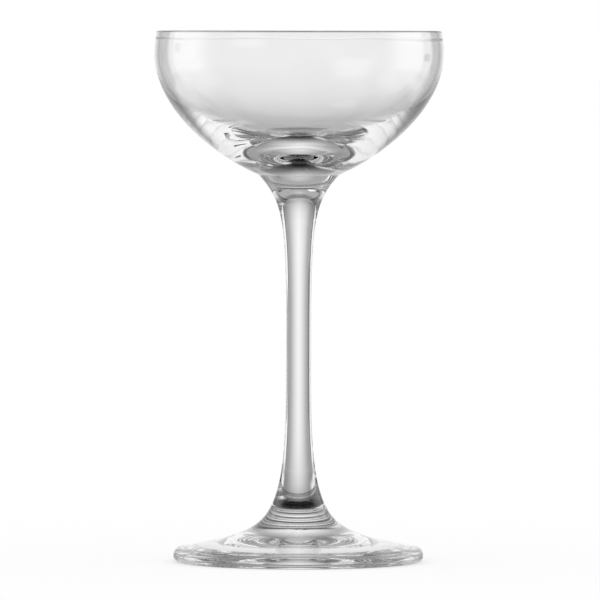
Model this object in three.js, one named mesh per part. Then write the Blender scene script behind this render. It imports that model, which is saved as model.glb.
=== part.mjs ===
// A small coupe-shaped liqueur glass in clear crystal, built as such glasses are: a blown bowl, a
// drawn stem and a spun foot, three solid pieces of glass that are fused end to end at flat welds.
// Millimetres, +Z up. The origin is the centre of the ring that the foot stands on.
import * as THREE from "three";

// Heights along the axis
const FOOT_HEIGHT = 12.2; // table to the weld between foot and stem
const STEM_LENGTH = 76.7; // lower weld to upper weld
const BOWL_HEIGHT = 33.1; // upper weld to the top of the rim

// Welds, where two pieces share one diameter
const FOOT_WELD_DIAMETER = 13.3;
const FOOT_WELD_LEAN = 29.5; // degrees from upright, of the skin that runs on across the lower weld
const BOWL_WELD_DIAMETER = 18.4;

// Foot
const FOOT_DIAMETER = 57.5;
const EDGE_THICKNESS = 3.5; // of the rounded edge
const EDGE_ROUND = 1.4; // radius of the edge's lower half
const EDGE_SHOULDER = 1.4; // how far the edge's upper half reaches in
const FOOT_FALL = 10; // degrees, the fall of the upper face towards the edge
const FOOT_FALL_PULL = 12; // how far that fall carries inwards
const FOOT_NECK_PULL = 6; // how far the neck's lean carries down from the weld
const REST_WIDTH = 5; // of the flat ring that meets the table
const HOLLOW_DEPTH = 2.2; // of the underside at its centre
const HOLLOW_PULL = 12; // how flat the hollow is at its centre
const HOLLOW_RISE = 16.5; // degrees, the slope of the hollow beside the ring
const HOLLOW_RISE_PULL = 4.5;

// Stem
const STEM_DIAMETER = 5.8; // at the waist
const WAIST_HEIGHT = 40; // lower weld to the waist
const LOWER_WAIST_PULL = 19; // how far the slim waist carries down
const UPPER_WAIST_PULL = 25.8; // how far it carries up
const LOWER_FLARE_PULL = 8.2; // of the flare into the foot
const UPPER_FLARE_PULL = 8.5; // of the flare into the bowl
const UPPER_FLARE_LEAN = 42; // degrees from upright, of that flare where it meets the bowl

// Bowl
const BOWL_DIAMETER = 66.4; // at the belly, the widest line
const BELLY_DROP = 5.3; // rim to belly
const RIM_INSET = 0.4; // how far the rim draws in from the belly
const RIM_WALL = 1.1; // thickness of the rounded rim
const RIM_LEAN = 8.3; // degrees that the wall leans in at the rim
const RIM_LEAN_PULL = 1.9;
const SIDE_WALL = 1.1; // at the belly
const BASE_THICKNESS = 4.9; // solid glass under the middle of the bowl
const UNDERSIDE_RISE = 23.6; // degrees, the slope of the underside beside the weld
const UNDERSIDE_PULL = 12.2;
const BELLY_PULL = 12; // how far the upright belly carries down the outside
const INNER_BELLY_PULL = 12.6; // and the inside
const INNER_FLOOR_PULL = 17; // how flat the inside is at its middle

// Steps that the round surfaces are made of
const TURN_STEPS = 64;
const CURVE_STEPS = 14;
const ROUND_STEPS = 6;

const OUTWARDS = 0; // headings in a profile, in degrees: outwards is 0 and up is 90
const UP = 90;
const INWARDS = 180;
const DOWN = 270;

const point = (radius, height) => new THREE.Vector2(radius, height);

// The point that lies a given distance from another one, along a heading.
function reach(from, heading, distance) {
  const angle = THREE.MathUtils.degToRad(heading);
  return point(from.x + distance * Math.cos(angle), from.y + distance * Math.sin(angle));
}

// A smooth curve between two ends. Each end has a heading and a pull, how far it carries that way.
function sweep(start, end, steps) {
  const curve = new THREE.CubicBezierCurve(
    start.at,
    reach(start.at, start.heading, start.pull),
    reach(end.at, end.heading + 180, end.pull),
    end.at,
  );
  return curve.getPoints(steps);
}

// Part of a circle, from one angle to another, in degrees.
function arc(centre, radius, from, to) {
  const turn = THREE.MathUtils.degToRad;
  const curve = new THREE.EllipseCurve(centre.x, centre.y, radius, radius, turn(from), turn(to));
  return curve.getPoints(ROUND_STEPS);
}

// One outline from runs that each start where the last one ended.
function chain(...runs) {
  return runs.flatMap((run, index) => (index ? run.slice(1) : run));
}

// A solid of revolution about Z from an outline of radii and heights, which starts and ends on the axis.
function turned(name, outline, height) {
  const geometry = new THREE.LatheGeometry(outline, TURN_STEPS).rotateX(Math.PI / 2);
  const crystal = new THREE.MeshStandardMaterial({
    color: 0xf1f5f5,
    roughness: 0.02,
    metalness: 0,
    transparent: true,
    opacity: 0.35,
  });
  const mesh = new THREE.Mesh(geometry, crystal);
  mesh.name = name;
  mesh.position.z = height;
  return mesh;
}

// The foot: a low cone that flares from the weld to a rounded edge, hollowed underneath.
function footOutline() {
  const radius = FOOT_DIAMETER / 2;
  const weld = point(FOOT_WELD_DIAMETER / 2, FOOT_HEIGHT);
  const ringOuter = point(radius - EDGE_ROUND, 0);
  const ringInner = point(ringOuter.x - REST_WIDTH, 0);
  const hollowTop = point(0, HOLLOW_DEPTH);
  const edge = point(radius, EDGE_ROUND);
  const shoulder = point(radius - EDGE_SHOULDER, EDGE_THICKNESS);
  const shoulderRise = EDGE_THICKNESS - EDGE_ROUND;
  const fall = INWARDS - FOOT_FALL;
  return chain(
    sweep(
      { at: hollowTop, heading: OUTWARDS, pull: HOLLOW_PULL },
      { at: ringInner, heading: OUTWARDS - HOLLOW_RISE, pull: HOLLOW_RISE_PULL },
      ROUND_STEPS,
    ),
    [ringInner, ringOuter],
    arc(point(ringOuter.x, EDGE_ROUND), EDGE_ROUND, -90, 0),
    sweep(
      { at: edge, heading: UP, pull: shoulderRise / 2 },
      { at: shoulder, heading: fall, pull: EDGE_SHOULDER / 2 },
      ROUND_STEPS,
    ),
    sweep(
      { at: shoulder, heading: fall, pull: FOOT_FALL_PULL },
      { at: weld, heading: UP + FOOT_WELD_LEAN, pull: FOOT_NECK_PULL },
      CURVE_STEPS,
    ),
    [weld, point(0, FOOT_HEIGHT)],
  );
}

// The stem: solid, slimmest at its waist, with a flare at each end.
function stemOutline() {
  const footEnd = point(FOOT_WELD_DIAMETER / 2, 0);
  const waist = point(STEM_DIAMETER / 2, WAIST_HEIGHT);
  const bowlEnd = point(BOWL_WELD_DIAMETER / 2, STEM_LENGTH);
  return chain(
    [point(0, 0), footEnd],
    sweep(
      { at: footEnd, heading: UP + FOOT_WELD_LEAN, pull: LOWER_FLARE_PULL },
      { at: waist, heading: UP, pull: LOWER_WAIST_PULL },
      CURVE_STEPS,
    ),
    sweep(
      { at: waist, heading: UP, pull: UPPER_WAIST_PULL },
      { at: bowlEnd, heading: UP - UPPER_FLARE_LEAN, pull: UPPER_FLARE_PULL },
      CURVE_STEPS,
    ),
    [bowlEnd, point(0, STEM_LENGTH)],
  );
}

// The bowl: a half-round cup with a thick base, a thin side and a rounded rim that draws in.
function bowlOutline() {
  const bellyHeight = BOWL_HEIGHT - BELLY_DROP;
  const weld = point(BOWL_WELD_DIAMETER / 2, 0);
  const belly = point(BOWL_DIAMETER / 2, bellyHeight);
  const innerBelly = point(belly.x - SIDE_WALL, bellyHeight);
  const floor = point(0, BASE_THICKNESS);
  const lipRadius = RIM_WALL / 2;
  const lipCentre = point(belly.x - RIM_INSET - lipRadius, BOWL_HEIGHT - lipRadius);
  const lip = chain(
    arc(lipCentre, lipRadius, RIM_LEAN, UP),
    arc(lipCentre, lipRadius, UP, RIM_LEAN + INWARDS),
  );
  return chain(
    [point(0, 0), weld],
    sweep(
      { at: weld, heading: UNDERSIDE_RISE, pull: UNDERSIDE_PULL },
      { at: belly, heading: UP, pull: BELLY_PULL },
      CURVE_STEPS,
    ),
    sweep(
      { at: belly, heading: UP, pull: RIM_LEAN_PULL },
      { at: lip[0], heading: UP + RIM_LEAN, pull: RIM_LEAN_PULL },
      ROUND_STEPS,
    ),
    lip,
    sweep(
      { at: lip.at(-1), heading: DOWN + RIM_LEAN, pull: RIM_LEAN_PULL },
      { at: innerBelly, heading: DOWN, pull: RIM_LEAN_PULL },
      ROUND_STEPS,
    ),
    sweep(
      { at: innerBelly, heading: DOWN, pull: INNER_BELLY_PULL },
      { at: floor, heading: INWARDS, pull: INNER_FLOOR_PULL },
      CURVE_STEPS,
    ),
  );
}

const glass = new THREE.Group();
glass.add(
  turned("foot", footOutline(), 0),
  turned("stem", stemOutline(), FOOT_HEIGHT),
  turned("bowl", bowlOutline(), FOOT_HEIGHT + STEM_LENGTH),
);

export default glass;
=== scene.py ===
"""A clear liqueur glass: a blown bowl, a drawn stem and a spun foot, welded hot, in a white studio.

Everything is in metres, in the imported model's frame: +Z up, with the origin at the centre of the ring
that the foot stands on.
"""

import logging
import math
from abc import ABC, abstractmethod
from dataclasses import dataclass
from enum import Enum
from typing import Any, ClassVar

import bmesh
import bpy
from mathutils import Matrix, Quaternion, Vector, noise
from mathutils.geometry import interpolate_bezier


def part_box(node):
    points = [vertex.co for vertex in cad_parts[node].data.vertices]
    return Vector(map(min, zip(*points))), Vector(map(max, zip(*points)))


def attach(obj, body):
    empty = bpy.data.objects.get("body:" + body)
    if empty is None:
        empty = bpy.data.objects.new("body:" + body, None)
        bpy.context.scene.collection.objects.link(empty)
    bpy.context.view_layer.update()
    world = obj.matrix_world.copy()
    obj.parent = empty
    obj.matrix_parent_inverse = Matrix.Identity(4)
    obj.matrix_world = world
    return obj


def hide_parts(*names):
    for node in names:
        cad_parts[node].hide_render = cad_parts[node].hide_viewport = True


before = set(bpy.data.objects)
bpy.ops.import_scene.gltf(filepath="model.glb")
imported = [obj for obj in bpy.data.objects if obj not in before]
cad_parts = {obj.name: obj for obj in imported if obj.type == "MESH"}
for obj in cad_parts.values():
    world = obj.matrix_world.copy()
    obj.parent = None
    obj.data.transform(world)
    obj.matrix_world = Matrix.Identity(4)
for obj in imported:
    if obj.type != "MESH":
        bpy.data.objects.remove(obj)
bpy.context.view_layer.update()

log = logging.getLogger("liqueur_glass")

MM = 0.001
BODY = "root"  # nothing on the glass moves

TURN_STEPS = 240  # facets round the axis
CURVE_STEPS = 72  # along a long sweep
LIP_STEPS = 48  # along the short sweeps under the lip
ROUND_STEPS = 16  # round an edge or a lip
MERGE_DISTANCE = 0.0001 * MM

FIRST_COLOUR = 6  # the sockets of a Mix node that carry colours, whose names other sockets share
SECOND_COLOUR = 7
MIXED_COLOUR = 2


class Heading(Enum):
    """Ways that an outline can head in the half-plane of radii and heights, in degrees."""

    OUTWARDS = 0.0
    UP = 90.0
    INWARDS = 180.0
    DOWN = 270.0

    def leaning(self, degrees: float) -> float:
        """The heading turned anticlockwise by an angle."""
        return self.value + degrees


@dataclass(frozen=True)
class End:
    """One end of a sweep: where it is, its heading in degrees and how far it carries that way."""

    at: Vector
    heading: float
    pull: float

    def reach(self, distance: float) -> Vector:
        """The point that lies a distance along the heading."""
        angle = math.radians(self.heading)
        return self.at + distance * Vector((math.cos(angle), 0, math.sin(angle)))


def spot(radius: float, height: float) -> Vector:
    """A point of an outline."""
    return Vector((radius, 0, height))


class Outline:
    """A wire of radii and heights that is drawn run by run and then turned about the Z axis."""

    def __init__(self, start: Vector) -> None:
        """Start the wire at a point."""
        self.mesh = bmesh.new()
        self.tip = self.mesh.verts.new(start)

    def line_to(self, point: Vector) -> None:
        """Draw a straight edge from the tip.

        Args:
            point: Where the edge ends.
        """
        corner = self.mesh.verts.new(point)
        self.mesh.edges.new((self.tip, corner))
        self.tip = corner

    def sweep(self, start: End, end: End, steps: int) -> None:
        """Draw a smooth curve from the tip.

        Args:
            start: The end that lies at the tip.
            end: The far end.
            steps: How many edges the curve is made of.
        """
        handles = start.reach(start.pull), end.reach(-end.pull)
        for point in interpolate_bezier(start.at, *handles, end.at, steps + 1)[1:]:
            self.line_to(point)

    def arc(self, centre: Vector, degrees: float, steps: int) -> None:
        """Draw part of a circle from the tip.

        Args:
            centre: The circle's centre.
            degrees: How far the arc turns, anticlockwise.
            steps: How many edges the arc is made of.
        """
        made = bmesh.ops.spin(
            self.mesh,
            geom=[self.tip],
            cent=centre,
            axis=(0, -1, 0),
            angle=math.radians(degrees),
            steps=steps,
        )
        self.tip = next(part for part in made["geom_last"] if isinstance(part, bmesh.types.BMVert))

    def turn(self) -> bmesh.types.BMesh:
        """Spin the wire once round the axis.

        Returns:
            A closed solid with its faces outwards.
        """
        bmesh.ops.spin(
            self.mesh,
            geom=[*self.mesh.verts, *self.mesh.edges],
            cent=(0, 0, 0),
            axis=(0, 0, 1),
            angle=math.tau,
            steps=TURN_STEPS,
            use_merge=True,
        )
        bmesh.ops.remove_doubles(self.mesh, verts=self.mesh.verts[:], dist=MERGE_DISTANCE)
        bmesh.ops.recalc_face_normals(self.mesh, faces=self.mesh.faces[:])
        return self.mesh


def mesh_of(solid: bmesh.types.BMesh, name: str) -> bpy.types.Mesh:
    """Make a mesh from a finished solid.

    Args:
        solid: The solid, which is freed.
        name: The mesh's name.

    Returns:
        The new mesh.
    """
    mesh = bpy.data.meshes.new(name)
    solid.to_mesh(mesh)
    solid.free()
    return mesh


def placed(data: bpy.types.Mesh | bpy.types.Camera) -> bpy.types.Object:
    """Put a mesh or a camera in the scene, under its own name.

    Args:
        data: The mesh or the camera.

    Returns:
        The new object.
    """
    made = bpy.data.objects.new(data.name, data)
    bpy.context.scene.collection.objects.link(made)
    return made


def dent(depth: float, place: Vector) -> float:
    """How far hand work moves the skin at a place, from minus the depth to nothing."""
    return depth / 2 * (noise.noise(place) - 1)


class Value:
    """A number that a node tree works out, with the operators that add its Math nodes."""

    def __init__(self, sheet: "NodeSheet", socket: bpy.types.NodeSocket) -> None:
        """Wrap an output socket of the sheet."""
        self.sheet = sheet
        self.socket = socket

    def _math(self, operation: str, *terms: "Value | float") -> "Value":
        """Add a Math node.

        Args:
            operation: The node's operation.
            terms: Its inputs, in order.

        Returns:
            The node's result.
        """
        node = self.sheet.add("ShaderNodeMath", {"operation": operation}, dict(enumerate(terms)))
        return Value(self.sheet, node.outputs[0])

    def __add__(self, other: "Value | float") -> "Value":
        """The sum with another value."""
        return self._math("ADD", self, other)

    def __radd__(self, other: float) -> "Value":
        """The sum with a number."""
        return self._math("ADD", other, self)

    def __sub__(self, other: "Value | float") -> "Value":
        """The difference from another value."""
        return self._math("SUBTRACT", self, other)

    def __rsub__(self, other: float) -> "Value":
        """A number less this value."""
        return self._math("SUBTRACT", other, self)

    def __mul__(self, other: "Value | float") -> "Value":
        """The product with another value."""
        return self._math("MULTIPLY", self, other)

    def __rmul__(self, other: float) -> "Value":
        """The product with a number."""
        return self._math("MULTIPLY", other, self)

    def __abs__(self) -> "Value":
        """The size without its sign."""
        return self._math("ABSOLUTE", self)

    def arctan2(self, other: "Value") -> "Value":
        """The angle, in radians, whose tangent is this value over another."""
        return self._math("ARCTAN2", self, other)

    def arcsine(self) -> "Value":
        """The angle, in radians, whose sine is this value."""
        return self._math("ARCSINE", self)

    def highest(self, other: "Value | float") -> "Value":
        """The larger of two values."""
        return self._math("MAXIMUM", self, other)

    def rise(self, low: float, high: float) -> "Value":
        """Climb smoothly from 0 to 1.

        Args:
            low: Where the climb starts.
            high: Where it ends.

        Returns:
            0 below low, 1 above high.
        """
        node = self.sheet.add(
            "ShaderNodeMapRange",
            {"interpolation_type": "SMOOTHSTEP"},
            {"Value": self, "From Min": low, "From Max": high},
        )
        return Value(self.sheet, node.outputs[0])


class NodeSheet:
    """A node tree that starts empty and is filled node by node."""

    def __init__(self, owner: bpy.types.Material | bpy.types.World) -> None:
        """Clear the owner's tree.

        Args:
            owner: The material or the world that the tree belongs to.
        """
        owner.use_nodes = True
        self.tree = owner.node_tree
        self.tree.nodes.clear()

    def add(
        self,
        kind: str,
        settings: dict[str, Any] | None = None,
        inputs: dict[str | int, Any] | None = None,
    ) -> bpy.types.Node:
        """Add a node.

        Args:
            kind: The node's type.
            settings: Its own properties, which are set first.
            inputs: A value, a Value or an output socket for each input, by name or number.

        Returns:
            The new node.
        """
        node = self.tree.nodes.new(kind)
        for name, setting in (settings or {}).items():
            setattr(node, name, setting)
        for key, given in (inputs or {}).items():
            source = given.socket if isinstance(given, Value) else given
            if isinstance(source, bpy.types.NodeSocket):
                self.tree.links.new(source, node.inputs[key])
            else:
                node.inputs[key].default_value = source
        return node

    def value(self, node: bpy.types.Node, output: str | int = 0) -> Value:
        """One output of a node, as a value."""
        return Value(self, node.outputs[output])


@dataclass(frozen=True)
class Span:
    """A stretch of lengths, of shares or of angles in degrees, over which something fades in."""

    start: float
    end: float

    def at(self, place: float) -> float:
        """How far a number is along the stretch, from 0 to 1, with a soft start and end."""
        share = min(max((place - self.start) / (self.end - self.start), 0.0), 1.0)
        return share * share * (3 - 2 * share)

    def of(self, value: Value) -> Value:
        """How far a node tree's value is along the stretch, from 0 to 1."""
        return value.rise(self.start, self.end)


class Making(Enum):
    """How a piece was formed hot, as the stretch of its faint ripples along X, Y and Z."""

    BLOWN = (1.0, 1.0, 1.0)
    DRAWN = (1.0, 1.0, 0.06)
    SPUN = (1.0, 1.0, 3.0)


@dataclass(frozen=True)
class Crystal:
    """Clear, colourless crystal with the faint ripples and haze that its making leaves."""

    name: str
    making: Making
    ripple_size: float
    ripple_height: float
    clear: tuple[float, float, float, float] = (0.993, 0.993, 0.995, 1.0)
    cloudy: tuple[float, float, float, float] = (0.979, 0.98, 0.984, 1.0)
    refraction: float = 1.52
    haze: float = 0.006
    ripple_detail: float = 1.0
    cloud_scale: float = 90.0
    cloud_detail: float = 3.0
    cloud_cover: Span = Span(0.35, 0.75)

    def material(self) -> bpy.types.Material:
        """Make the crystal's material.

        Returns:
            A Principled glass whose colour, roughness and normal vary a little.
        """
        made = bpy.data.materials.new(self.name)
        sheet = NodeSheet(made)
        place = sheet.add("ShaderNodeTexCoord").outputs["Object"]
        stretched = sheet.add("ShaderNodeMapping", inputs={"Vector": place, "Scale": self.making.value})
        ripples = sheet.add(
            "ShaderNodeTexNoise",
            inputs={
                "Vector": stretched.outputs[0],
                "Scale": 1 / self.ripple_size,
                "Detail": self.ripple_detail,
            },
        )
        clouds = sheet.add(
            "ShaderNodeTexNoise",
            inputs={"Vector": place, "Scale": self.cloud_scale, "Detail": self.cloud_detail},
        )
        cloud = self.cloud_cover.of(sheet.value(clouds, "Fac"))
        tint = sheet.add(
            "ShaderNodeMix",
            {"data_type": "RGBA"},
            {"Factor": cloud, FIRST_COLOUR: self.clear, SECOND_COLOUR: self.cloudy},
        )
        bump = sheet.add(
            "ShaderNodeBump",
            inputs={"Height": ripples.outputs["Fac"], "Distance": self.ripple_height, "Strength": 1.0},
        )
        glass = sheet.add(
            "ShaderNodeBsdfPrincipled",
            inputs={
                "Base Color": tint.outputs[MIXED_COLOUR],
                "Roughness": self.haze * cloud,
                "Normal": bump.outputs[0],
                "IOR": self.refraction,
                "Transmission Weight": 1.0,
            },
        )
        sheet.add("ShaderNodeOutputMaterial", inputs={"Surface": glass.outputs[0]})
        return made


def weld_material() -> bpy.types.Material:
    """Make the material of a weld, which lets light through unbent because the glass is fused there.

    Returns:
        A plain transparent material.
    """
    made = bpy.data.materials.new("hot_weld")
    sheet = NodeSheet(made)
    clear = sheet.add("ShaderNodeBsdfTransparent")
    sheet.add("ShaderNodeOutputMaterial", inputs={"Surface": clear.outputs[0]})
    return made


class TurnedPiece(ABC):
    """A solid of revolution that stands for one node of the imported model."""

    name: ClassVar[str]
    node: ClassVar[str]
    slot: ClassVar[str]
    crystal: ClassVar[Crystal]

    @abstractmethod
    def outline(self) -> Outline:
        """Draw half of the piece's section.

        Returns:
            The outline, from the axis round to the axis.
        """

    @abstractmethod
    def weld_heights(self) -> tuple[float, ...]:
        """The heights of the flat faces that are fused to a neighbour."""

    @abstractmethod
    def wave(self, place: Vector, facing: Vector) -> float:
        """Work out the traces of hand work in the skin.

        Args:
            place: A corner of the turned piece.
            facing: The way that the corner faces.

        Returns:
            How far the corner moves along that way.
        """

    def build(self) -> bpy.types.Object:
        """Turn the outline and put the piece in its node's place.

        Returns:
            The new piece.
        """
        solid = self.outline().turn()
        solid.normal_update()
        waves = [(corner, self.wave(corner.co, corner.normal) * corner.normal) for corner in solid.verts]
        for corner, move in waves:
            corner.co += move
        for face in solid.faces:
            face.smooth = True
            face.material_index = int(self._is_weld(face))
        for edge in solid.edges:
            edge.smooth = len({face.material_index for face in edge.link_faces}) == 1
        piece = placed(mesh_of(solid, self.name))
        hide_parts(self.node)
        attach(piece, BODY)
        return piece

    def _is_weld(self, face: bmesh.types.BMFace) -> bool:
        """Tell the flat ends from the skin.

        Args:
            face: A face of the turned piece.

        Returns:
            Whether the face lies in one of the welds.
        """
        return any(
            all(abs(corner.co.z - height) < MERGE_DISTANCE for corner in face.verts)
            for height in self.weld_heights()
        )

    def dress(self, piece: bpy.types.Object, weld: bpy.types.Material) -> None:
        """Give a piece its crystal, and its flat ends the weld.

        Args:
            piece: The piece that build made.
            weld: The material of every weld.
        """
        piece.data.materials.append(self.crystal.material())
        piece.data.materials.append(weld)


@dataclass
class Foot(TurnedPiece):
    """The spun foot: a low cone with a rounded edge, a ring to stand on and a hollow underside."""

    name = "spun_foot"
    node = "foot"
    slot = "foot_crystal"
    crystal = Crystal("spun_crystal", Making.SPUN, ripple_size=9 * MM, ripple_height=0.004 * MM)

    radius: float
    height: float
    weld_radius: float = 6.65 * MM
    weld_lean: float = 29.5
    neck_pull: float = 6.0 * MM
    edge_thickness: float = 3.5 * MM
    edge_round: float = 1.4 * MM
    edge_shoulder: float = 1.4 * MM
    fall: float = 10.0
    fall_pull: float = 12.0 * MM
    rest_width: float = 5.0 * MM
    hollow_depth: float = 2.2 * MM
    hollow_pull: float = 12.0 * MM
    hollow_rise: float = 16.5
    hollow_rise_pull: float = 4.5 * MM
    ring_width: float = 3.5 * MM
    ring_depth: float = 0.03 * MM
    ring_turns: float = 1.2

    def weld_heights(self) -> tuple[float, ...]:
        """The top, which carries the stem."""
        return (self.height,)

    def wave(self, place: Vector, facing: Vector) -> float:
        """Work out the shallow rings that the spinning tool leaves, which run a little off centre.

        Args:
            place: A corner of the turned foot.
            facing: The way that the corner faces.

        Returns:
            How far the corner moves along that way.
        """
        radius = math.hypot(place.x, place.y)
        turned = Vector((place.x, place.y, 0)).normalized() * self.ring_turns
        turned.z = radius / self.ring_width + math.copysign(self.ring_turns, facing.z)
        above_table = Span(0, self.edge_round).at(place.z)
        clear_of_weld = 1 - Span(self.height / 2, self.height).at(place.z)
        return dent(self.ring_depth, turned) * above_table * clear_of_weld

    def outline(self) -> Outline:
        """Draw from the hollow's top, out under the edge and up to the weld.

        Returns:
            The foot's outline.
        """
        ring_outer = spot(self.radius - self.edge_round, 0)
        ring_inner = ring_outer - spot(self.rest_width, 0)
        edge = spot(self.radius, self.edge_round)
        shoulder = spot(self.radius - self.edge_shoulder, self.edge_thickness)
        weld = spot(self.weld_radius, self.height)
        hollow_top = spot(0, self.hollow_depth)
        fall = Heading.INWARDS.leaning(-self.fall)
        drawn = Outline(hollow_top)
        drawn.sweep(
            End(hollow_top, Heading.OUTWARDS.value, self.hollow_pull),
            End(ring_inner, Heading.OUTWARDS.leaning(-self.hollow_rise), self.hollow_rise_pull),
            CURVE_STEPS,
        )
        straight = self.rest_width / 3
        drawn.sweep(
            End(ring_inner, Heading.OUTWARDS.value, straight),
            End(ring_outer, Heading.OUTWARDS.value, straight),
            ROUND_STEPS,
        )
        drawn.arc(spot(ring_outer.x, self.edge_round), Heading.UP.value, ROUND_STEPS)
        drawn.sweep(
            End(edge, Heading.UP.value, (self.edge_thickness - self.edge_round) / 2),
            End(shoulder, fall, self.edge_shoulder / 2),
            ROUND_STEPS,
        )
        drawn.sweep(
            End(shoulder, fall, self.fall_pull),
            End(weld, Heading.UP.leaning(self.weld_lean), self.neck_pull),
            CURVE_STEPS,
        )
        drawn.line_to(spot(0, self.height))
        return drawn


@dataclass
class Stem(TurnedPiece):
    """The drawn stem: solid, slimmest at its waist, flared into the foot and into the bowl."""

    name = "drawn_stem"
    node = "stem"
    slot = "stem_crystal"
    crystal = Crystal("drawn_crystal", Making.DRAWN, ripple_size=5 * MM, ripple_height=0.001 * MM)

    bottom: float
    top: float
    bowl_weld_radius: float
    foot_weld_radius: float
    foot_weld_lean: float
    radius: float = 2.9 * MM
    waist_height: float = 40.0 * MM
    lower_waist_pull: float = 19.0 * MM
    upper_waist_pull: float = 25.8 * MM
    lower_flare_pull: float = 8.2 * MM
    upper_flare_pull: float = 8.5 * MM
    upper_flare_lean: float = 42.0
    bend_length: float = 14.0 * MM
    bend_depth: float = 0.04 * MM
    bend_turns: float = 0.5

    def weld_heights(self) -> tuple[float, ...]:
        """Both ends, which meet the foot and the bowl."""
        return (self.bottom, self.top)

    def wave(self, place: Vector, facing: Vector) -> float:
        """Work out the slow bends that the drawing out leaves, on the slim part only.

        Args:
            place: A corner of the turned stem.
            facing: The way that the corner faces.

        Returns:
            How far the corner moves along that way.
        """
        turned = Vector((facing.x, facing.y, 0)).normalized() * self.bend_turns
        turned.z = place.z / self.bend_length
        fade = self.lower_flare_pull
        clear_of_foot = Span(self.bottom, self.bottom + fade).at(place.z)
        clear_of_bowl = 1 - Span(self.top - fade, self.top).at(place.z)
        return dent(self.bend_depth, turned) * clear_of_foot * clear_of_bowl

    def outline(self) -> Outline:
        """Draw from the lower weld, up past the waist to the upper weld.

        Returns:
            The stem's outline.
        """
        foot_end = spot(self.foot_weld_radius, self.bottom)
        waist = spot(self.radius, self.bottom + self.waist_height)
        bowl_end = spot(self.bowl_weld_radius, self.top)
        drawn = Outline(spot(0, self.bottom))
        drawn.line_to(foot_end)
        drawn.sweep(
            End(foot_end, Heading.UP.leaning(self.foot_weld_lean), self.lower_flare_pull),
            End(waist, Heading.UP.value, self.lower_waist_pull),
            CURVE_STEPS,
        )
        drawn.sweep(
            End(waist, Heading.UP.value, self.upper_waist_pull),
            End(bowl_end, Heading.UP.leaning(-self.upper_flare_lean), self.upper_flare_pull),
            CURVE_STEPS,
        )
        drawn.line_to(spot(0, self.top))
        return drawn


@dataclass
class Bowl(TurnedPiece):
    """The blown bowl: half round, with a thick base, a thin side and a lip that draws in."""

    name = "blown_bowl"
    node = "bowl"
    slot = "bowl_crystal"
    crystal = Crystal("blown_crystal", Making.BLOWN, ripple_size=12 * MM, ripple_height=0.004 * MM)

    bottom: float
    top: float
    radius: float
    weld_radius: float
    belly_drop: float = 5.3 * MM
    rim_inset: float = 0.4 * MM
    rim_wall: float = 1.1 * MM
    rim_lean: float = 8.3
    rim_lean_pull: float = 1.9 * MM
    side_wall: float = 1.1 * MM
    base_thickness: float = 4.9 * MM
    underside_rise: float = 23.6
    underside_pull: float = 12.2 * MM
    belly_pull: float = 12.0 * MM
    inner_belly_pull: float = 12.6 * MM
    inner_floor_pull: float = 17.0 * MM
    swirl_size: float = 7.0 * MM
    swirl_depth: float = 0.25 * MM
    swirl_reach: Span = Span(10.0 * MM, 22.0 * MM)
    swirl_facing: Span = Span(0.2, 0.6)
    bead_drop: float = 1.75 * MM
    bead_line: float = 0.22 * MM
    bead_depth: float = 0.08 * MM
    bead_stray: float = 0.5 * MM
    bead_turns: float = 1.5
    bead_facing: Span = Span(0.0, 0.5)

    def weld_heights(self) -> tuple[float, ...]:
        """The bottom, which stands on the stem."""
        return (self.bottom,)

    def wave(self, place: Vector, facing: Vector) -> float:
        """Work out the swirls in the thick floor, and the line under the bead that the flame leaves.

        Args:
            place: A corner of the turned bowl.
            facing: The way that the corner faces.

        Returns:
            How far the corner moves along that way.
        """
        radius = math.hypot(place.x, place.y)
        inside = self.swirl_facing.at(facing.z) * (1 - self.swirl_reach.at(radius))
        swirl = dent(self.swirl_depth, place / self.swirl_size) * inside
        turned = Vector((place.x, place.y, 0)).normalized()
        line = self.top - self.bead_drop + self.bead_stray * noise.noise(turned * self.bead_turns)
        near = 1 - Span(0.0, self.bead_line).at(abs(place.z - line))
        outside = self.bead_facing.at(facing.dot(turned))
        return swirl - self.bead_depth * near * outside

    def outline(self) -> Outline:
        """Draw from the weld up the outside, over the lip and down to the middle of the inside.

        Returns:
            The bowl's outline.
        """
        weld = spot(self.weld_radius, self.bottom)
        belly = spot(self.radius, self.top - self.belly_drop)
        inner_belly = belly - spot(self.side_wall, 0)
        floor = spot(0, self.bottom + self.base_thickness)
        lip_round = self.rim_wall / 2
        lip_centre = spot(self.radius - self.rim_inset - lip_round, self.top - lip_round)
        lean = math.radians(self.rim_lean)
        across = lip_round * Vector((math.cos(lean), 0, math.sin(lean)))
        outer_lip, inner_lip = lip_centre + across, lip_centre - across
        drawn = Outline(spot(0, self.bottom))
        drawn.line_to(weld)
        drawn.sweep(
            End(weld, self.underside_rise, self.underside_pull),
            End(belly, Heading.UP.value, self.belly_pull),
            CURVE_STEPS,
        )
        drawn.sweep(
            End(belly, Heading.UP.value, self.rim_lean_pull),
            End(outer_lip, Heading.UP.leaning(self.rim_lean), self.rim_lean_pull),
            LIP_STEPS,
        )
        drawn.arc(lip_centre, Heading.UP.value - self.rim_lean, ROUND_STEPS)
        drawn.arc(lip_centre, Heading.UP.value + self.rim_lean, ROUND_STEPS)
        drawn.sweep(
            End(inner_lip, Heading.DOWN.leaning(self.rim_lean), self.rim_lean_pull),
            End(inner_belly, Heading.DOWN.value, self.rim_lean_pull),
            LIP_STEPS,
        )
        drawn.sweep(
            End(inner_belly, Heading.DOWN.value, self.inner_belly_pull),
            End(floor, Heading.INWARDS.value, self.inner_floor_pull),
            CURVE_STEPS,
        )
        return drawn


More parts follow.
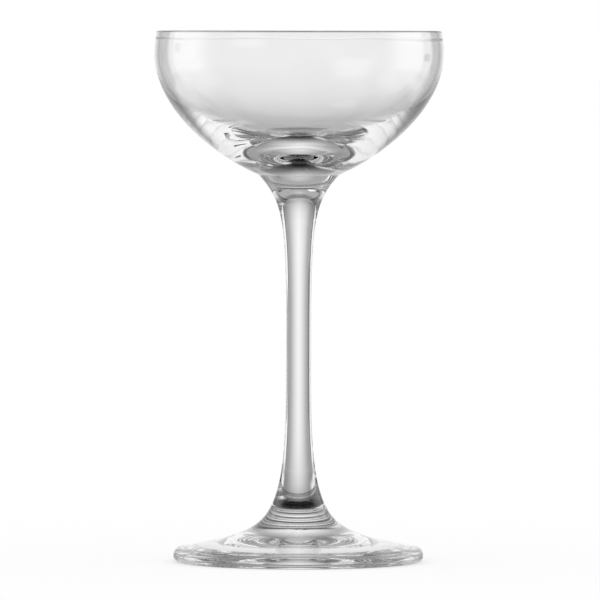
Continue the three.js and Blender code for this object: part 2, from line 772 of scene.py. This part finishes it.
@dataclass(frozen=True)
class Band:
    """A range of angles that fades in over one stretch and, unless it is open, out over another."""

    enters: Span
    leaves: Span | None = None

    def of(self, angle: Value) -> Value:
        """Work out how far an angle is inside the band.

        Args:
            angle: An azimuth or an elevation, in degrees.

        Returns:
            0 outside the band and 1 well inside it.
        """
        entered = self.enters.of(angle)
        if self.leaves is None:
            return entered
        return entered * (1 - self.leaves.of(angle))


class Side(Enum):
    """A side of the studio, as the sign of its azimuths."""

    RIGHT = 1.0
    LEFT = -1.0


@dataclass(frozen=True)
class Panel:
    """An evenly bright sheet, at one side of the studio or all round it."""

    level: float
    height: Band
    around: Band | None = None
    side: Side = Side.RIGHT

    def over(self, behind: Value, azimuth: Value, elevation: Value) -> Value:
        """Lay the panel over what lies behind it.

        Args:
            behind: The brightness without the panel.
            azimuth: The ray's azimuth.
            elevation: The ray's elevation.

        Returns:
            The brightness with the panel.
        """
        cover = self.height.of(elevation)
        if self.around is not None:
            cover = cover * self.around.of(self.side.value * azimuth)
        return behind + (self.level - behind) * cover


# The studio's panels, each of which covers the ones before it
CEILING = Panel(level=0.76, height=Band(Span(73.0, 99.5)))
HAIR_LIGHT = Panel(
    level=0.43,
    height=Band(Span(41.5, 44.5), Span(62.0, 65.0)),
    around=Band(Span(-31.0, -30.0), Span(16.0, 17.0)),
)
HIGH_PANEL = Panel(
    level=1.1,
    height=Band(Span(53.5, 56.5), Span(68.0, 71.0)),
    around=Band(Span(34.0, 38.0), Span(56.0, 60.0)),
    side=Side.LEFT,
)
FLAG_LEVEL = 0.13
FLAG_HEIGHT = Band(Span(-15.0, -9.0), Span(53.0, 61.0))
FLAGS = (
    Panel(FLAG_LEVEL, FLAG_HEIGHT, Band(Span(40.0, 41.0), Span(62.0, 64.0)), Side.RIGHT),
    Panel(FLAG_LEVEL, FLAG_HEIGHT, Band(Span(42.5, 43.5), Span(64.0, 66.0)), Side.LEFT),
)
SOFTBOX_LEVEL = 1.08
SOFTBOX_HEIGHT = Band(Span(-22.5, -11.5), Span(34.5, 46.5))
SOFTBOX_FAR_EDGE = Span(80.5, 107.5)
SOFTBOXES = (
    Panel(SOFTBOX_LEVEL, SOFTBOX_HEIGHT, Band(Span(44.0, 48.5), SOFTBOX_FAR_EDGE), Side.RIGHT),
    Panel(SOFTBOX_LEVEL, SOFTBOX_HEIGHT, Band(Span(47.5, 52.5), SOFTBOX_FAR_EDGE), Side.LEFT),
)
STEM_FLAGS = (
    Panel(
        level=0.13,
        height=Band(Span(-6.5, -4.5), Span(-1.5, 0.5)),
        around=Band(Span(49.5, 51.5), Span(59.0, 61.0)),
        side=Side.RIGHT,
    ),
    Panel(
        level=0.17,
        height=Band(Span(-6.0, -4.0), Span(0.0, 2.0)),
        around=Band(Span(35.0, 37.0), Span(44.0, 46.0)),
        side=Side.LEFT,
    ),
)
BOARD_LEVEL = 0.97
BOARD_HEIGHT = Band(Span(-30.0, -25.5), Span(-21.5, -16.5))
BOARD_WIDTH = Band(Span(40.0, 46.0), Span(62.5, 74.5))
FRONT_BOARDS = tuple(Panel(BOARD_LEVEL, BOARD_HEIGHT, BOARD_WIDTH, side) for side in Side)
FRONT_APRON = Panel(
    level=0.87,
    height=Band(Span(-50.0, -33.0), Span(-24.0, -18.0)),
    around=Band(Span(24.0, 38.0), Span(56.0, 70.0)),
    side=Side.LEFT,
)
REAR_BOARD = Panel(
    level=0.85,
    height=Band(Span(-46.0, -24.0), Span(-11.0, -2.0)),
    around=Band(Span(112.0, 128.0), Span(142.0, 158.0)),
)


@dataclass(frozen=True)
class Surroundings:
    """What the glass sees: a glowing backdrop in a dim room, softboxes, flags and white boards.

    Azimuths run from the backdrop's middle, to the right, and elevations from the horizon.
    """

    level: float = 1.03
    table: Span = Span(-62.5, 5.5)
    above: Span = Span(2.0, 51.5)
    above_level: float = 0.45
    glow: Span = Span(-3.0, 37.0)
    glow_end: float = 0.36
    glow_height: Span = Span(47.0, 52.0)
    camera_side: Span = Span(101.0, 126.0)
    camera_side_level: float = 0.55
    panels: tuple[Panel, ...] = (
        CEILING,
        HAIR_LIGHT,
        HIGH_PANEL,
        *FLAGS,
        *SOFTBOXES,
        *STEM_FLAGS,
        *FRONT_BOARDS,
        FRONT_APRON,
        REAR_BOARD,
    )

    def brightness(self, sheet: NodeSheet) -> Value:
        """Work out the brightness along a ray's direction.

        Args:
            sheet: The world's node sheet.

        Returns:
            The brightness, where 1 is white.
        """
        direction = sheet.add("ShaderNodeTexCoord").outputs["Generated"]
        parts = sheet.add("ShaderNodeSeparateXYZ", inputs={0: direction})
        x, y, z = (sheet.value(parts, axis) for axis in range(3))
        azimuth = x.arctan2(y) * math.degrees(1)
        elevation = z.arcsine() * math.degrees(1)
        heights = self.table.of(elevation) * (1 - (1 - self.above_level) * self.above.of(elevation))
        dimming = self.glow.of(abs(azimuth)) * (1 - self.glow_height.of(abs(elevation)))
        room = 1 - (1 - self.camera_side_level) * self.camera_side.of(abs(azimuth))
        seen = self.level * heights * (1 - (1 - self.glow_end) * dimming) * room
        for panel in self.panels:
            seen = panel.over(seen, azimuth, elevation)
        return seen


@dataclass
class Studio:
    """The plain pale floor, the soft white light and the camera."""

    surroundings: Surroundings = Surroundings()
    floor_size: float = 40.0
    floor_white: float = 0.35
    distance: float = 1.9
    elevation: float = 1.87
    aim_height: float = 60.2 * MM
    aim_offset: float = 0.3 * MM
    roll: float = 0.1
    picture_width: float = 137.75 * MM
    sensor_width: float = 36.0
    farthest: float = 60.0
    bounces: int = 40

    def build_floor(self) -> bpy.types.Object:
        """Lay the floor, which shows the glass's shadow and is otherwise white.

        Returns:
            The floor.
        """
        plane = bmesh.new()
        bmesh.ops.create_grid(plane, x_segments=1, y_segments=1, size=self.floor_size / 2)
        floor = placed(mesh_of(plane, "studio_floor"))
        floor.visible_glossy = False
        floor.visible_transmission = False
        floor.data.materials.append(self._floor_material())
        return floor

    def _floor_material(self) -> bpy.types.Material:
        """Make the floor's white, part lit by the studio and part its own.

        Returns:
            The floor's material.
        """
        made = bpy.data.materials.new("studio_white")
        sheet = NodeSheet(made)
        rays = sheet.add("ShaderNodeLightPath")
        seen = sheet.value(rays, "Is Camera Ray")
        lit = sheet.add("ShaderNodeBsdfDiffuse", inputs={"Color": (*[self.floor_white] * 3, 1.0)})
        own = sheet.add("ShaderNodeEmission", inputs={"Strength": (1 - self.floor_white) * seen})
        both = sheet.add("ShaderNodeAddShader", inputs={0: lit.outputs[0], 1: own.outputs[0]})
        sheet.add("ShaderNodeOutputMaterial", inputs={"Surface": both.outputs[0]})
        return made

    def light(self) -> None:
        """Fill the world with white, in which the glass sees the studio's surroundings."""
        world = bpy.data.worlds.new("white_studio")
        bpy.context.scene.world = world
        world.cycles.sampling_method = "NONE"
        sheet = NodeSheet(world)
        rays = sheet.add("ShaderNodeLightPath")
        glassy = sheet.value(rays, "Is Glossy Ray").highest(sheet.value(rays, "Is Transmission Ray"))
        shown = 1 - glassy * (1 - self.surroundings.brightness(sheet))
        light = sheet.add("ShaderNodeBackground", inputs={"Color": shown, "Strength": 1.0})
        sheet.add("ShaderNodeOutputWorld", inputs={"Surface": light.outputs[0]})

    def aim_camera(self) -> bpy.types.Object:
        """Set up the camera, level with the rim and aimed at the glass's middle.

        Returns:
            The camera.
        """
        lens = bpy.data.cameras.new("studio_camera")
        lens.sensor_width = self.sensor_width
        lens.lens = self.sensor_width * self.distance / self.picture_width
        lens.clip_end = self.farthest
        camera = placed(lens)
        aim = Vector((self.aim_offset, 0, self.aim_height))
        angle = math.radians(self.elevation)
        back = Vector((0, -math.cos(angle), math.sin(angle)))
        camera.location = aim + self.distance * back
        facing = (-back).to_track_quat("-Z", "Y")
        tilt = Quaternion((0, 0, 1), math.radians(self.roll))
        camera.rotation_euler = (facing @ tilt).to_euler()
        bpy.context.scene.camera = camera
        return camera

    def set_light_paths(self) -> None:
        """Let light pass through as many layers of glass as it needs, and show colours as they are."""
        scene = bpy.context.scene
        scene.view_settings.view_transform = "Standard"
        scene.cycles.max_bounces = self.bounces
        scene.cycles.transmission_bounces = self.bounces
        scene.cycles.glossy_bounces = self.bounces
        scene.cycles.transparent_max_bounces = self.bounces


def glass_pieces() -> tuple[TurnedPiece, ...]:
    """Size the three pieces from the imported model's boxes.

    Returns:
        The foot, the stem and the bowl.
    """
    foot_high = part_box("foot")[1]
    stem_low, stem_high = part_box("stem")
    bowl_low, bowl_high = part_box("bowl")
    foot = Foot(radius=foot_high.x, height=foot_high.z)
    stem = Stem(
        bottom=stem_low.z,
        top=stem_high.z,
        bowl_weld_radius=stem_high.x,
        foot_weld_radius=foot.weld_radius,
        foot_weld_lean=foot.weld_lean,
    )
    bowl = Bowl(bottom=bowl_low.z, top=bowl_high.z, radius=bowl_high.x, weld_radius=stem_high.x)
    return foot, stem, bowl


def main() -> None:
    """Build the glass and the studio in order, and report each piece."""
    logging.basicConfig(level=logging.INFO, format="%(name)s: %(message)s")
    studio = Studio()
    studio.aim_camera()
    studio.set_light_paths()
    studio.light()
    log.info("floor %s", studio.build_floor().name)
    weld = weld_material()
    for part in glass_pieces():
        piece = part.build()
        part.dress(piece, weld)
        log.info("%s stands for %s with %d faces", piece.name, part.node, len(piece.data.polygons))


if __name__ == "__main__":
    main()
